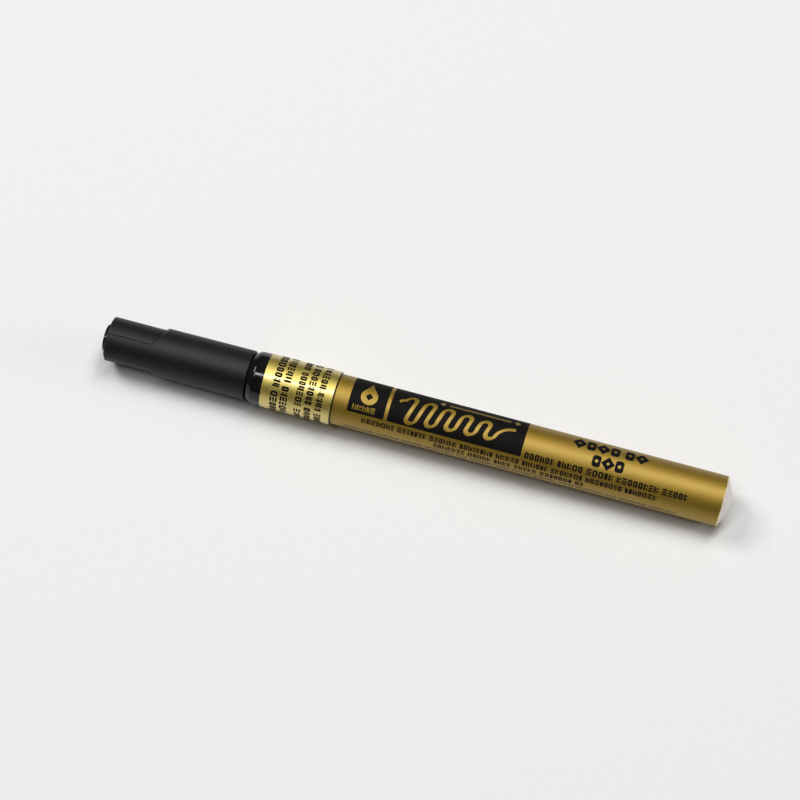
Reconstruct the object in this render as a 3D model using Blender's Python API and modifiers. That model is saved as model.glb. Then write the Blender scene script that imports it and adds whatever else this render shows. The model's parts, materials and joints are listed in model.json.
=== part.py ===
"""Valve-action paint marker for calligraphy, capped and lying on its side.

The pen lies along X: the cap end points to -X, the tail to +X, and Z is up. The origin is on the surface
that it lies on, under the middle of its length. Each piece is drawn standing up, as a profile of
(radius, station) pairs, where a station is the distance along the pen from its middle. The empty
pen_axis lays all of them down. Angles round the pen start at the side that faces -Y and go up over +Z.
"""

import math

import bmesh
import bpy
from mathutils import Matrix, Vector

MM = 0.001

# Driving dimensions
OVERALL_LENGTH = 139.0 * MM
BARREL_RADIUS = 5.5 * MM
BARREL_WALL = 0.4 * MM
COLLAR_RADIUS = 5.8 * MM
LABEL_THICKNESS = 0.07 * MM
LABEL_GAP = 0.03 * MM
CAP_MOUTH_RADIUS = 5.5 * MM
CAP_END_RADIUS = 5.3 * MM
NIB_TRAVEL = 1.9 * MM
NIB_TIP_RADIUS = 0.35 * MM
BALL_RADIUS = 2.5 * MM

# Gaps between neighbours: assembled face to face, pressed in, and sliding
FACE_GAP = 0.05 * MM
PRESS_GAP = 0.04 * MM
SLIDING_GAP = 0.08 * MM

# Stations along the pen, from the cap end to the tail
CAP_TIP = -OVERALL_LENGTH / 2
CAP_END = CAP_TIP + 1.0 * MM
LINER_BASE = CAP_END + 1.7 * MM
LINER_FLOOR = LINER_BASE + 1.5 * MM
NIB_TIP = LINER_FLOOR + 3.3 * MM
NOSE_FACE = NIB_TIP + 4.5 * MM
SEAL_LAND_START = NOSE_FACE + 5.0 * MM
SEAL_LAND_END = SEAL_LAND_START + 4.0 * MM
SPIGOT_FRONT = NOSE_FACE + 11.5 * MM
SPIGOT_REAR = SPIGOT_FRONT + 9.4 * MM
CAP_MOUTH = SPIGOT_REAR - 0.2 * MM
COLLAR_REAR = SPIGOT_REAR + 19.25 * MM
BARREL_MOUTH = COLLAR_REAR + FACE_GAP
TAIL = OVERALL_LENGTH / 2
TAIL_EDGE = TAIL - 1.5 * MM

# Valve
CHAMBER_REAR = SPIGOT_REAR + 6.7 * MM
STOP_SHOULDER = SPIGOT_REAR - 7.4 * MM
GASKET_THICKNESS = 0.7 * MM
VALVE_FLANGE_THICKNESS = 1.05 * MM
VALVE_FRONT = CHAMBER_REAR + GASKET_THICKNESS + 2 * FACE_GAP
VALVE_WALL_REAR = VALVE_FRONT + 1.2 * MM
VALVE_REAR = VALVE_FRONT + 16.1 * MM
VALVE_BORE_RADIUS = 2.65 * MM
VALVE_OUTER_RADIUS = 3.6 * MM
SEAT_THICKNESS = 1.25 * MM
PLUG_FRONT = VALVE_WALL_REAR + SEAT_THICKNESS + 2 * FACE_GAP
PLUG_REAR = PLUG_FRONT + 0.95 * MM
RETAINER_FRONT = VALVE_REAR - 1.5 * MM
RETAINER_THICKNESS = 1.4 * MM
STEM_RADIUS = 0.8 * MM
HOLDER_REAR = VALVE_FRONT - NIB_TRAVEL - 2 * FACE_GAP
STEM_FRONT = HOLDER_REAR + FACE_GAP

# Anti-roll recesses in the cap: two opposite sectors whose inner ends slope up to the full diameter
RECESS_CENTRE_ANGLES = (math.radians(137), math.radians(317))
RECESS_HALF_ANGLE = math.radians(59)
RECESS_FLOOR_RADIUS = 4.88 * MM
RECESS_LENGTH = 9.8 * MM
RECESS_RAMP_SLOPE = 0.93

BALL_STATION = 45.0 * MM
SEGMENTS = 48
SMALL_SEGMENTS = 32

# The pen lies on a flat of its widest ring, the label, because each ring is turned in straight facets
FACET_FLATTENING = math.cos(math.pi / SEGMENTS)
AXIS_HEIGHT = (COLLAR_RADIUS + LABEL_GAP + LABEL_THICKNESS) * FACET_FLATTENING

# name: (base colour, roughness, metallic)
FINISHES = {
    "gold_barrel": ((0.42, 0.29, 0.075), 0.33, 0.95),
    "gold_label": ((0.62, 0.53, 0.20), 0.28, 0.9),
    "matte_black": ((0.012, 0.012, 0.012), 0.55, 0.0),
    "gloss_black": ((0.006, 0.006, 0.007), 0.12, 0.0),
    "liner_black": ((0.01, 0.01, 0.01), 0.3, 0.0),
    "natural_plastic": ((0.75, 0.73, 0.68), 0.4, 0.0),
    "grey_plastic": ((0.3, 0.3, 0.3), 0.4, 0.0),
    "nib_ivory": ((0.8, 0.74, 0.6), 0.45, 0.0),
    "black_rubber": ((0.03, 0.03, 0.03), 0.7, 0.0),
    "spring_steel": ((0.6, 0.6, 0.6), 0.25, 1.0),
    "ball_steel": ((0.7, 0.7, 0.72), 0.12, 1.0),
}


def clear_scene():
    for obj in list(bpy.data.objects):
        bpy.data.objects.remove(obj, do_unlink=True)


def new_collection(name):
    collection = bpy.data.collections.new(name)
    bpy.context.scene.collection.children.link(collection)
    return collection


def new_material(name):
    colour, roughness, metallic = FINISHES[name]
    material = bpy.data.materials.new(name)
    material.use_nodes = True
    shader = material.node_tree.nodes["Principled BSDF"]
    shader.inputs["Base Color"].default_value = (*colour, 1.0)
    shader.inputs["Roughness"].default_value = roughness
    shader.inputs["Metallic"].default_value = metallic
    return material


def add_object(name, data, material, parent):
    obj = bpy.data.objects.new(name, data)
    parts.objects.link(obj)
    obj.parent = parent
    obj.data.materials.append(materials[material])
    return obj


def arc(centre, radii, start, end, steps):
    """Points of an elliptical arc in a profile, its angles in degrees from the outward direction."""
    points = []
    for i in range(steps + 1):
        angle = math.radians(start + (end - start) * i / steps)
        points.append((centre[0] + radii[0] * math.cos(angle), centre[1] + radii[1] * math.sin(angle)))
    return points


def turned(name, profile, material, parent, closed, segments=SEGMENTS):
    """A piece turned round the pen's axis from a closed profile, or from one that begins and ends on the axis."""
    half_facet = math.pi / segments
    mesh = bpy.data.meshes.new(name)
    points = [(r * math.cos(half_facet), r * math.sin(half_facet), z) for r, z in profile]
    edges = [(i, i + 1) for i in range(len(points) - 1)]
    if closed:
        edges.append((len(points) - 1, 0))
    mesh.from_pydata(points, edges, [])
    obj = add_object(name, mesh, material, parent)
    screw = obj.modifiers.new("Turn", "SCREW")
    screw.axis = "Z"
    screw.steps = screw.render_steps = segments
    screw.use_merge_vertices = True
    screw.merge_threshold = 1e-6
    screw.use_smooth_shade = True
    return obj


def evaluated_mesh(obj):
    """Replaces an object's modifiers, or a curve, by the mesh that they make."""
    graph = bpy.context.evaluated_depsgraph_get()
    mesh = bpy.data.meshes.new_from_object(obj.evaluated_get(graph))
    mesh.name = obj.name
    return mesh


def cap_shell(parent):
    lip, edge = 0.2 * MM, 0.35 * MM
    bore, deep_bore, stud_hole = 4.7 * MM, 4.0 * MM, 2.45 * MM
    step = SPIGOT_FRONT - 8.5 * MM
    profile = [
        *arc((CAP_MOUTH_RADIUS - lip, CAP_MOUTH - lip), (lip, lip), 90, 0, 3),
        *arc((CAP_END_RADIUS - edge, CAP_END + edge), (edge, edge), 0, -90, 4),
        (stud_hole, CAP_END),
        (stud_hole, LINER_BASE - 2 * FACE_GAP),
        (deep_bore, LINER_BASE - 2 * FACE_GAP),
        (deep_bore, step),
        (bore, step + 1.0 * MM),
        (bore, CAP_MOUTH - 1.4 * MM),
        (bore + 0.25 * MM, CAP_MOUTH),
    ]
    shell = turned("cap_shell", profile, "matte_black", parent, closed=True)
    for i, angle in enumerate(RECESS_CENTRE_ANGLES):
        cut(shell, f"Recess{i + 1}", recess_cutter(f"recess_cutter_{i + 1}", angle, parent))
    return shell


def recess_cutter(name, centre_angle, parent):
    """A sector of a tube outside the recess floor. A plane that slopes out towards the mouth ends it."""
    outer = CAP_MOUTH_RADIUS + 1.5 * MM
    start = CAP_END - 2.0 * MM
    stop = CAP_END + RECESS_LENGTH + 6.0 * MM
    steps = 16
    outline = []
    for radius, sweep in ((RECESS_FLOOR_RADIUS, 1), (outer, -1)):
        for i in range(steps + 1):
            angle = centre_angle + sweep * RECESS_HALF_ANGLE * (2 * i / steps - 1)
            outline.append((*around(angle, radius), start))
    bm = bmesh.new()
    face = bm.faces.new([bm.verts.new(point) for point in outline])
    side = bmesh.ops.extrude_face_region(bm, geom=[face])
    moved = [item for item in side["geom"] if isinstance(item, bmesh.types.BMVert)]
    bmesh.ops.translate(bm, vec=(0, 0, stop - start), verts=moved)
    corner_height = CAP_END_RADIUS * math.cos(RECESS_HALF_ANGLE)
    ramp_foot = Vector((*around(centre_angle, corner_height), CAP_END + RECESS_LENGTH))
    ramp_normal = Vector((*around(centre_angle, -RECESS_RAMP_SLOPE), 1.0)).normalized()
    everything = bm.verts[:] + bm.edges[:] + bm.faces[:]
    split = bmesh.ops.bisect_plane(
        bm, geom=everything, plane_co=ramp_foot, plane_no=ramp_normal, clear_outer=True
    )
    rim = [item for item in split["geom_cut"] if isinstance(item, bmesh.types.BMEdge)]
    bmesh.ops.contextual_create(bm, geom=rim)
    bmesh.ops.recalc_face_normals(bm, faces=bm.faces)
    return add_cutter(name, bm, parent)


def box_cutter(name, parent, boxes):
    """One cutter of separate boxes, each given by its low and high corners."""
    bm = bmesh.new()
    for low, high in boxes:
        low, high = Vector(low), Vector(high)
        place = Matrix.Translation((low + high) / 2) @ Matrix.Diagonal((*(high - low), 1.0))
        bmesh.ops.create_cube(bm, size=1.0, matrix=place)
    return add_cutter(name, bm, parent)


def add_cutter(name, bm, parent):
    mesh = bpy.data.meshes.new(name)
    bm.to_mesh(mesh)
    bm.free()
    cutter = bpy.data.objects.new(name, mesh)
    cutters.objects.link(cutter)
    cutter.parent = parent
    cutter.hide_render = True
    cutter.display_type = "WIRE"
    return cutter


def cut(obj, name, cutter):
    modifier = obj.modifiers.new(name, "BOOLEAN")
    modifier.operation = "DIFFERENCE"
    modifier.solver = "EXACT"
    modifier.object = cutter


def around(angle, radius):
    """The standing pen's X and Y of a point at this angle round it."""
    return -radius * math.sin(angle), -radius * math.cos(angle)


def cap_liner(parent):
    """Inner cap that closes on the nose. Its stud goes through the shell's end and shows as a boss."""
    bore, outer, stud, head = 2.83 * MM, 3.95 * MM, 2.4 * MM, 3.0 * MM
    rim = SEAL_LAND_START + 2.5 * MM
    head_edge = 0.2 * MM
    profile = [
        (0, LINER_FLOOR),
        (bore, LINER_FLOOR),
        (bore, rim - 0.3 * MM),
        (bore + 0.3 * MM, rim),
        (outer - 0.5 * MM, rim),
        (outer, rim - 1.0 * MM),
        (outer, LINER_BASE),
        (stud, LINER_BASE),
        (stud, CAP_END - FACE_GAP),
        (head, CAP_END - FACE_GAP),
        *arc((head - head_edge, CAP_TIP + head_edge), (head_edge, head_edge), 0, -90, 3),
        (0, CAP_TIP),
    ]
    return turned("cap_liner", profile, "liner_black", parent, closed=False)


def front_section(parent):
    """Collar, cap spigot and nose in one moulding, bored for the valve and the nib holder."""
    spigot, bead = 4.5 * MM, 4.58 * MM
    seal_land, nose_tip, nose_bore = 2.75 * MM, 1.55 * MM, 1.2 * MM
    holder_bore, chamber, gasket_bore, neck_bore = 1.9 * MM, 3.3 * MM, 4.35 * MM, 4.5 * MM
    bead_middle = SPIGOT_REAR - 4.9 * MM
    rear_edge = 0.15 * MM
    profile = [
        (COLLAR_RADIUS - rear_edge, COLLAR_REAR),
        (COLLAR_RADIUS, COLLAR_REAR - rear_edge),
        (COLLAR_RADIUS, SPIGOT_REAR + 1.3 * MM),
        (COLLAR_RADIUS - 0.7 * MM, SPIGOT_REAR),
        (spigot, SPIGOT_REAR),
        (spigot, bead_middle + 0.6 * MM),
        (bead, bead_middle + 0.2 * MM),
        (bead, bead_middle - 0.2 * MM),
        (spigot, bead_middle - 0.6 * MM),
        (spigot, SPIGOT_FRONT),
        (3.4 * MM, SPIGOT_FRONT - 1.0 * MM),
        (seal_land, SEAL_LAND_END),
        (seal_land, SEAL_LAND_START),
        (seal_land - 0.15 * MM, SEAL_LAND_START - 0.2 * MM),
        (nose_tip, NOSE_FACE),
        (nose_bore, NOSE_FACE),
        (nose_bore, NOSE_FACE + 5.5 * MM),
        (holder_bore, NOSE_FACE + 6.2 * MM),
        (holder_bore, STOP_SHOULDER),
        (chamber, STOP_SHOULDER),
        (chamber, CHAMBER_REAR),
        (gasket_bore, CHAMBER_REAR),
        (gasket_bore, VALVE_FRONT + 0.4 * MM),
        (neck_bore, VALVE_FRONT + 0.55 * MM),
        (neck_bore, COLLAR_REAR),
    ]
    return turned("front_section", profile, "gloss_black", parent, closed=True)


def safety_label(parent):
    """Metallised film wrapped round the collar."""
    inner = COLLAR_RADIUS + LABEL_GAP
    outer = inner + LABEL_THICKNESS
    front, rear = SPIGOT_REAR + 3.6 * MM, COLLAR_REAR - 0.3 * MM
    profile = [(outer, rear), (outer, front), (inner, front), (inner, rear)]
    return turned("safety_label", profile, "gold_label", parent, closed=True)


def neck_bush(parent):
    """Bush pressed into the barrel's mouth. Ribs seal it in the barrel, and its neck carries the thread."""
    plug = BARREL_RADIUS - BARREL_WALL - PRESS_GAP
    crest, bore = 4.42 * MM, 3.65 * MM
    depth = 0.25 * MM
    rear, front = BARREL_MOUTH + 9.8 * MM, VALVE_FRONT + VALVE_FLANGE_THICKNESS + FACE_GAP
    profile = [(plug - depth, rear), (plug, rear - depth)]
    profile += ridges(plug, depth, rear - 1.5 * MM, 3, 2.2 * MM)
    profile += [(plug, BARREL_MOUTH), (crest, BARREL_MOUTH)]
    profile += ridges(crest, depth, BARREL_MOUTH - 1.2 * MM, 7, 1.2 * MM)
    profile += [(crest, front), (bore, front), (bore, rear)]
    return turned("neck_bush", profile, "natural_plastic", parent, closed=True)


def ridges(radius, depth, start, count, pitch):
    """Grooves cut in an outer wall, from the rear to the front, which leave ridges between them."""
    points = []
    for i in range(count):
        top = start - i * pitch
        points += [(radius, top), (radius - depth, top - 0.25 * pitch)]
        points += [(radius - depth, top - 0.45 * pitch), (radius, top - 0.7 * pitch)]
    return points


def valve_gasket(parent):
    inner, outer = 3.35 * MM, 4.3 * MM
    front = CHAMBER_REAR + FACE_GAP
    rear = front + GASKET_THICKNESS
    profile = [(outer, rear), (outer, front), (inner, front), (inner, rear)]
    return turned("valve_gasket", profile, "black_rubber", parent, closed=True)


def valve_body(parent):
    """Housing clamped by its flange between gasket and bush. The stem leaves it through its front wall."""
    flange, stem_hole = 4.3 * MM, 1.25 * MM
    flange_rear = VALVE_FRONT + VALVE_FLANGE_THICKNESS
    profile = [
        (VALVE_OUTER_RADIUS, VALVE_REAR),
        (VALVE_OUTER_RADIUS, flange_rear),
        (flange, flange_rear),
        (flange, VALVE_FRONT),
        (stem_hole, VALVE_FRONT),
        (stem_hole, VALVE_WALL_REAR),
        (VALVE_BORE_RADIUS, VALVE_WALL_REAR),
        (VALVE_BORE_RADIUS, VALVE_REAR),
    ]
    return turned("valve_body", profile, "natural_plastic", parent, closed=True)


def valve_seat(parent):
    inner, outer = 1.3 * MM, VALVE_BORE_RADIUS - FACE_GAP
    front = VALVE_WALL_REAR + FACE_GAP
    rear = front + SEAT_THICKNESS
    chamfer = 0.35 * MM
    profile = [
        (outer, rear),
        (outer, front),
        (inner, front),
        (inner, rear - chamfer),
        (inner + chamfer, rear),
    ]
    return turned("valve_seat", profile, "black_rubber", parent, closed=True, segments=SMALL_SEGMENTS)


def spring_retainer(parent):
    """Perforated disc that closes the valve body. The stem slides in its middle, and paint enters round it.

    Its outline is a flat curve: a disc with the stem's hole and a circle of ports.
    """
    middle = RETAINER_FRONT + RETAINER_THICKNESS / 2
    curve = bpy.data.curves.new("spring_retainer", "CURVE")
    curve.dimensions = "2D"
    curve.fill_mode = "BOTH"
    curve.extrude = RETAINER_THICKNESS / 2
    curve.resolution_u = 1
    add_circle(curve, (0, 0), VALVE_BORE_RADIUS - FACE_GAP, SMALL_SEGMENTS)
    add_circle(curve, (0, 0), STEM_RADIUS + SLIDING_GAP, 16)
    ports, port_radius, port_circle = 5, 0.42 * MM, 1.75 * MM
    for i in range(ports):
        angle = 2 * math.pi * i / ports
        centre = (port_circle * math.cos(angle), port_circle * math.sin(angle))
        add_circle(curve, centre, port_radius, 12)
    flat = bpy.data.objects.new("retainer_outline", curve)
    parts.objects.link(flat)
    mesh = evaluated_mesh(flat)
    bpy.data.objects.remove(flat)
    bm = bmesh.new()
    bm.from_mesh(mesh)
    bmesh.ops.remove_doubles(bm, verts=bm.verts, dist=1e-7)
    bmesh.ops.recalc_face_normals(bm, faces=bm.faces)
    bm.to_mesh(mesh)
    bm.free()
    mesh.materials.clear()
    retainer = add_object("spring_retainer", mesh, "grey_plastic", parent)
    retainer.location.z = middle
    return retainer


def add_circle(curve, centre, radius, points):
    spline = curve.splines.new("POLY")
    spline.points.add(points - 1)
    for i, point in enumerate(spline.points):
        angle = 2 * math.pi * (i + 0.5) / points
        point.co = (centre[0] + radius * math.cos(angle), centre[1] + radius * math.sin(angle), 0, 1)
    spline.use_cyclic_u = True


def valve_spring(parent):
    """Compression spring between the valve plug and the retainer, its end turns closed."""
    coil_radius, wire_radius = 1.7 * MM, 0.175 * MM
    turns, per_turn, closed_turns = 8, 12, 1
    clear = wire_radius + FACE_GAP
    low, high = PLUG_REAR + clear, RETAINER_FRONT - clear
    closed_pitch = 2.1 * wire_radius
    open_pitch = (high - low - 2 * closed_turns * closed_pitch) / (turns - 2 * closed_turns)
    curve = bpy.data.curves.new("valve_spring", "CURVE")
    curve.dimensions = "3D"
    curve.bevel_depth = wire_radius
    curve.bevel_resolution = 2
    curve.use_fill_caps = True
    spline = curve.splines.new("POLY")
    count = turns * per_turn + 1
    spline.points.add(count - 1)
    height = low
    for i, point in enumerate(spline.points):
        angle = 2 * math.pi * i / per_turn
        point.co = (coil_radius * math.cos(angle), coil_radius * math.sin(angle), height, 1)
        at_end = i < closed_turns * per_turn or i >= (turns - closed_turns) * per_turn
        height += (closed_pitch if at_end else open_pitch) / per_turn
    return add_object("valve_spring", curve, "spring_steel", parent)


def valve_stem(parent):
    """Rod from the nib holder through the valve, with the plug that the spring holds on the seat."""
    plug, spring_guide = 2.0 * MM, 1.2 * MM
    rear = RETAINER_FRONT + RETAINER_THICKNESS + 1.2 * MM
    tip = 0.2 * MM
    profile = [
        (0, rear),
        (STEM_RADIUS - tip, rear),
        (STEM_RADIUS, rear - tip),
        (STEM_RADIUS, PLUG_REAR + 1.2 * MM),
        (spring_guide, PLUG_REAR + 0.9 * MM),
        (spring_guide, PLUG_REAR),
        (plug, PLUG_REAR),
        (plug, PLUG_FRONT + 0.5 * MM),
        (spring_guide, PLUG_FRONT),
        (STEM_RADIUS, PLUG_FRONT),
        (STEM_RADIUS, STEM_FRONT + tip),
        (STEM_RADIUS - tip, STEM_FRONT),
        (0, STEM_FRONT),
    ]
    return turned("valve_stem", profile, "natural_plastic", parent, closed=False, segments=SMALL_SEGMENTS)


def nib_holder(parent):
    """Plunger that carries the nib. Its flange rests on the nose's shoulder, and its rear end on the stem.

    Paint runs along two grooves in its side to a slot across it, which opens into the nib's bore.
    """
    rear_radius, flange, slide, sleeve, nib_bore = 1.6 * MM, 2.6 * MM, 1.82 * MM, 1.12 * MM, 0.8 * MM
    flange_front = STOP_SHOULDER + FACE_GAP
    sleeve_tip = NOSE_FACE - 1.5 * MM
    nib_bore_end = NOSE_FACE + 9.5 * MM
    profile = [
        (0, HOLDER_REAR),
        (rear_radius - 0.3 * MM, HOLDER_REAR),
        (rear_radius, HOLDER_REAR - 0.3 * MM),
        (rear_radius, flange_front + 1.0 * MM),
        (flange, flange_front + 1.0 * MM),
        (flange, flange_front),
        (slide, flange_front),
        (slide, NOSE_FACE + 6.5 * MM),
        (sleeve, NOSE_FACE + 5.8 * MM),
        (sleeve, sleeve_tip + 0.5 * MM),
        (sleeve - 0.2 * MM, sleeve_tip),
        (nib_bore, sleeve_tip),
        (nib_bore, nib_bore_end),
        (0, nib_bore_end),
    ]
    holder = turned("nib_holder", profile, "grey_plastic", parent, closed=False, segments=SMALL_SEGMENTS)
    width, groove_floor = 0.7 * MM, 1.25 * MM
    slot_start, slot_end = nib_bore_end - 0.1 * MM, nib_bore_end + 1.0 * MM
    groove_start, groove_end = nib_bore_end + 0.1 * MM, flange_front + 1.4 * MM
    slot = [((-flange, -width / 2, slot_start), (flange, width / 2, slot_end))]
    grooves = [
        ((groove_floor, -width / 2, groove_start), (2 * flange, width / 2, groove_end)),
        ((-2 * flange, -width / 2, groove_start), (-groove_floor, width / 2, groove_end)),
    ]
    cut(holder, "Slot", box_cutter("holder_slot_cutter", parent, slot))
    cut(holder, "Grooves", box_cutter("holder_groove_cutter", parent, grooves))
    return holder


def nib(parent):
    """Extruded plastic nib, tapered to a fine rounded point."""
    radius = 0.8 * MM - PRESS_GAP
    rear = NOSE_FACE + 9.5 * MM - 0.2 * MM
    taper_start = NIB_TIP + 2.0 * MM
    profile = [
        (0, rear),
        (radius, rear),
        (radius, taper_start),
        *arc((0, NIB_TIP + NIB_TIP_RADIUS), (NIB_TIP_RADIUS, NIB_TIP_RADIUS), 0, -75, 4),
        (0, NIB_TIP),
    ]
    return turned("nib", profile, "nib_ivory", parent, closed=False, segments=SMALL_SEGMENTS)


def barrel(parent):
    """Aluminium tube, closed at the tail by a shallow dome with a small flat on its middle."""
    flat, dome_height = 1.2 * MM, TAIL - TAIL_EDGE
    inner = BARREL_RADIUS - BARREL_WALL
    dome = arc((flat, TAIL_EDGE), (BARREL_RADIUS - flat, dome_height), 90, 0, 10)
    inside = arc((flat, TAIL_EDGE - 1.0 * MM), (inner - flat, dome_height), 0, 90, 8)
    profile = [(0, TAIL), *dome, (BARREL_RADIUS, BARREL_MOUTH), (inner, BARREL_MOUTH), *inside]
    profile.append((0, inside[-1][1]))
    return turned("barrel", profile, "gold_barrel", parent, closed=False)


def mixing_ball(parent):
    """Loose steel ball that stirs the paint. It lies on the lowest line of the barrel's bore."""
    bore = BARREL_RADIUS - BARREL_WALL
    drop = bore * FACET_FLATTENING - BALL_RADIUS - FACE_GAP
    mesh = bpy.data.meshes.new("mixing_ball")
    bm = bmesh.new()
    bmesh.ops.create_uvsphere(bm, u_segments=32, v_segments=16, radius=BALL_RADIUS)
    bm.to_mesh(mesh)
    bm.free()
    mesh.shade_smooth()
    ball = add_object("mixing_ball", mesh, "ball_steel", parent)
    ball.location = (drop, 0, BALL_STATION)
    return ball


def add_empty(name, parent, location=(0, 0, 0)):
    empty = bpy.data.objects.new(name, None)
    parts.objects.link(empty)
    empty.parent = parent
    empty.location = location
    return empty


clear_scene()
parts = new_collection("paint_marker")
cutters = new_collection("cutters")
materials = {name: new_material(name) for name in FINISHES}

pen_axis = add_empty("pen_axis", None, (0, 0, AXIS_HEIGHT))
pen_axis.rotation_euler = (0, math.radians(90), 0)
cap_axis = add_empty("cap_axis", pen_axis)
nib_axis = add_empty("nib_axis", pen_axis)

cap_shell(cap_axis)
cap_liner(cap_axis)
nib(nib_axis)
nib_holder(nib_axis)
valve_stem(nib_axis)
for make in (front_section, safety_label, neck_bush, valve_gasket, valve_body, valve_seat):
    make(pen_axis)
for make in (spring_retainer, valve_spring, barrel, mixing_ball):
    make(pen_axis)
bpy.context.view_layer.update()
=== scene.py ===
"""Looks of a capped paint marker that lies on a pale table.

Each visible turned piece is built again here, finer than its CAD node and round its own axis. Angles round
the pen are in degrees: they start at the side that faces -Y and go up over +Z. A station is a place along X.
Prints are thin layers of ink that follow the pen's round. They are drawn flat, as (station, arc length) in
millimetres, and wrapped.
"""

import json
import math
import random

import bmesh
import bpy
from mathutils import Matrix, Vector

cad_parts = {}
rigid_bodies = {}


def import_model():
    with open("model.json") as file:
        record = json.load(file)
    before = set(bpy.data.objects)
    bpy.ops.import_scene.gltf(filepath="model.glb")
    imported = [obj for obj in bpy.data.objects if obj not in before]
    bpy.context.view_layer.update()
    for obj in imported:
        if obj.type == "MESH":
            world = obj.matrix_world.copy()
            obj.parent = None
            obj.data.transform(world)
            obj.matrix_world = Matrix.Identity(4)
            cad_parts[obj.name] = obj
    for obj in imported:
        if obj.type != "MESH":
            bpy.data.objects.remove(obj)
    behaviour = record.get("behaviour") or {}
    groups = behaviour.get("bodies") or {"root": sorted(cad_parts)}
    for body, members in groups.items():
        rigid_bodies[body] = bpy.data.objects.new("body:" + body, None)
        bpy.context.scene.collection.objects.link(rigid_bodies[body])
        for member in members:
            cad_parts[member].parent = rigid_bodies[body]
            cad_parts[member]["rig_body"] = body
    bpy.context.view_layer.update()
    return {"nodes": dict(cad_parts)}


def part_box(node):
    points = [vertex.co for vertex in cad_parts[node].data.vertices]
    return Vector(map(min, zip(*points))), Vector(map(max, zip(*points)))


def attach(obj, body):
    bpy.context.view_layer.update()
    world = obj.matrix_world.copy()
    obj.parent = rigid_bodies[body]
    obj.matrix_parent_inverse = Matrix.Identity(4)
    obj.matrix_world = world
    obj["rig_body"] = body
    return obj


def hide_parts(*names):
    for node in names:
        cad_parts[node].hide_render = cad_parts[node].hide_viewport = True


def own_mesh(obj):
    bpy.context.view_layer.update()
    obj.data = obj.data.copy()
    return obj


MM = 0.001

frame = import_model()


def ends(node):
    low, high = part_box(node)
    return low.x, high.x


def radius_of(node):
    low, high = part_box(node)
    return (high.y - low.y) / 2


# Places and sizes that the frame gives
BARREL_MOUTH, TAIL = ends("barrel")
NOSE, COLLAR_REAR = ends("front_section")
CAP_END, CAP_MOUTH = ends("cap_shell")
BOSS_FACE, LINER_RIM = ends("cap_liner")
LABEL_FRONT, LABEL_REAR = ends("safety_label")
NIB_TIP, NIB_REAR = ends("nib")
BARREL_RADIUS = radius_of("barrel")
COLLAR_RADIUS = radius_of("front_section")
LABEL_RADIUS = radius_of("safety_label")
CAP_RADIUS = radius_of("cap_shell")
AXIS_HEIGHT = (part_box("barrel")[0].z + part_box("barrel")[1].z) / 2

# Details of the visible pieces. Angles are in degrees.
TAIL_CROWN = 1.5 * MM
TAIL_EDGE = TAIL - TAIL_CROWN
TAIL_ROLL = 0.34 * MM
BARREL_WALL = 0.4 * MM
COLLAR_FRONT = CAP_MOUTH + 0.2 * MM
CAP_END_RADIUS = CAP_RADIUS - 0.2 * MM
RECESS_CENTRES = (137.0, 317.0)
RECESS_HALF_ANGLE = 60.7
RECESS_FLOOR_RADIUS = CAP_RADIUS - 0.62 * MM
RECESS_LENGTH = 9.8 * MM
RECESS_SLOPE = 0.93
RECESS_WALL_ANGLE = 3.4
LABEL_SEAM = 205.0
LABEL_TURN = 380.0
FILM = 0.07 * MM
FILM_WAVE = 0.006 * MM
INK = 0.012 * MM
INK_ROOT = 0.004 * MM

# Shading and fineness of the meshes
NOISE_SPREAD = (0.3, 0.7)
SHARP_ANGLE = 32
EASED_EDGE = 0.04 * MM
EASED_ANGLE = 40
FLAT_ANGLE = 1
BARREL_COLUMNS = 192
PRINT_STEP = 0.3

# The camera: its angles in degrees, the point that it looks at and its lens in millimetres
CAMERA_AZIMUTH = 16.2
CAMERA_ELEVATION = 66.0
CAMERA_DISTANCE = 633.3 * MM
CAMERA_TARGET = Vector((-4.24 * MM, 3.47 * MM, AXIS_HEIGHT))
CAMERA_LENS = 132.75
CAMERA_SENSOR = 36.0

# The stage, in metres. A softbox has a place, the turn of its long side from X, a size and a power in watts.
FLOOR_HALF_SIZE = 2.0
SOFTBOXES = {
    "strip": ((-0.16, -0.02, 1.5), 54, (1.5, 0.09), 10.2),
    "key": ((-1.20, 0.36, 1.58), 0, (0.8, 0.8), 18.6),
    "top": ((0.36, 0.55, 1.58), 90, (1.0, 0.42), 9.5),
    "side": ((1.3, 0.3, 0.5), 90, (0.5, 0.4), 3.0),
}
WORLD_COLOUR = (1.0, 0.99, 0.98)
WORLD_STRENGTH = 0.03


# ---------------------------------------------------------------- materials


def shader_of(material):
    return material.node_tree.nodes["Principled BSDF"]


def new_material(name, colour, roughness, metallic=0.0, **constants):
    """A Principled material. A further socket is set by its name, with _ for each space."""
    material = bpy.data.materials.new(name)
    material.use_nodes = True
    shader = shader_of(material)
    shader.inputs["Base Color"].default_value = (*colour, 1.0)
    shader.inputs["Roughness"].default_value = roughness
    shader.inputs["Metallic"].default_value = metallic
    for socket, value in constants.items():
        shader.inputs[socket.replace("_", " ")].default_value = value
    return material


def noise(material, scale, detail=3.0, stretch=(1.0, 1.0, 1.0)):
    """A noise in the object's own space. Scale is in waves a metre."""
    nodes, links = material.node_tree.nodes, material.node_tree.links
    place = nodes.new("ShaderNodeTexCoord")
    mapping = nodes.new("ShaderNodeMapping")
    mapping.inputs["Scale"].default_value = [scale * s for s in stretch]
    texture = nodes.new("ShaderNodeTexNoise")
    texture.inputs["Scale"].default_value = 1.0
    texture.inputs["Detail"].default_value = detail
    links.new(place.outputs["Object"], mapping.inputs["Vector"])
    links.new(mapping.outputs["Vector"], texture.inputs["Vector"])
    return texture.outputs["Fac"]


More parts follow.
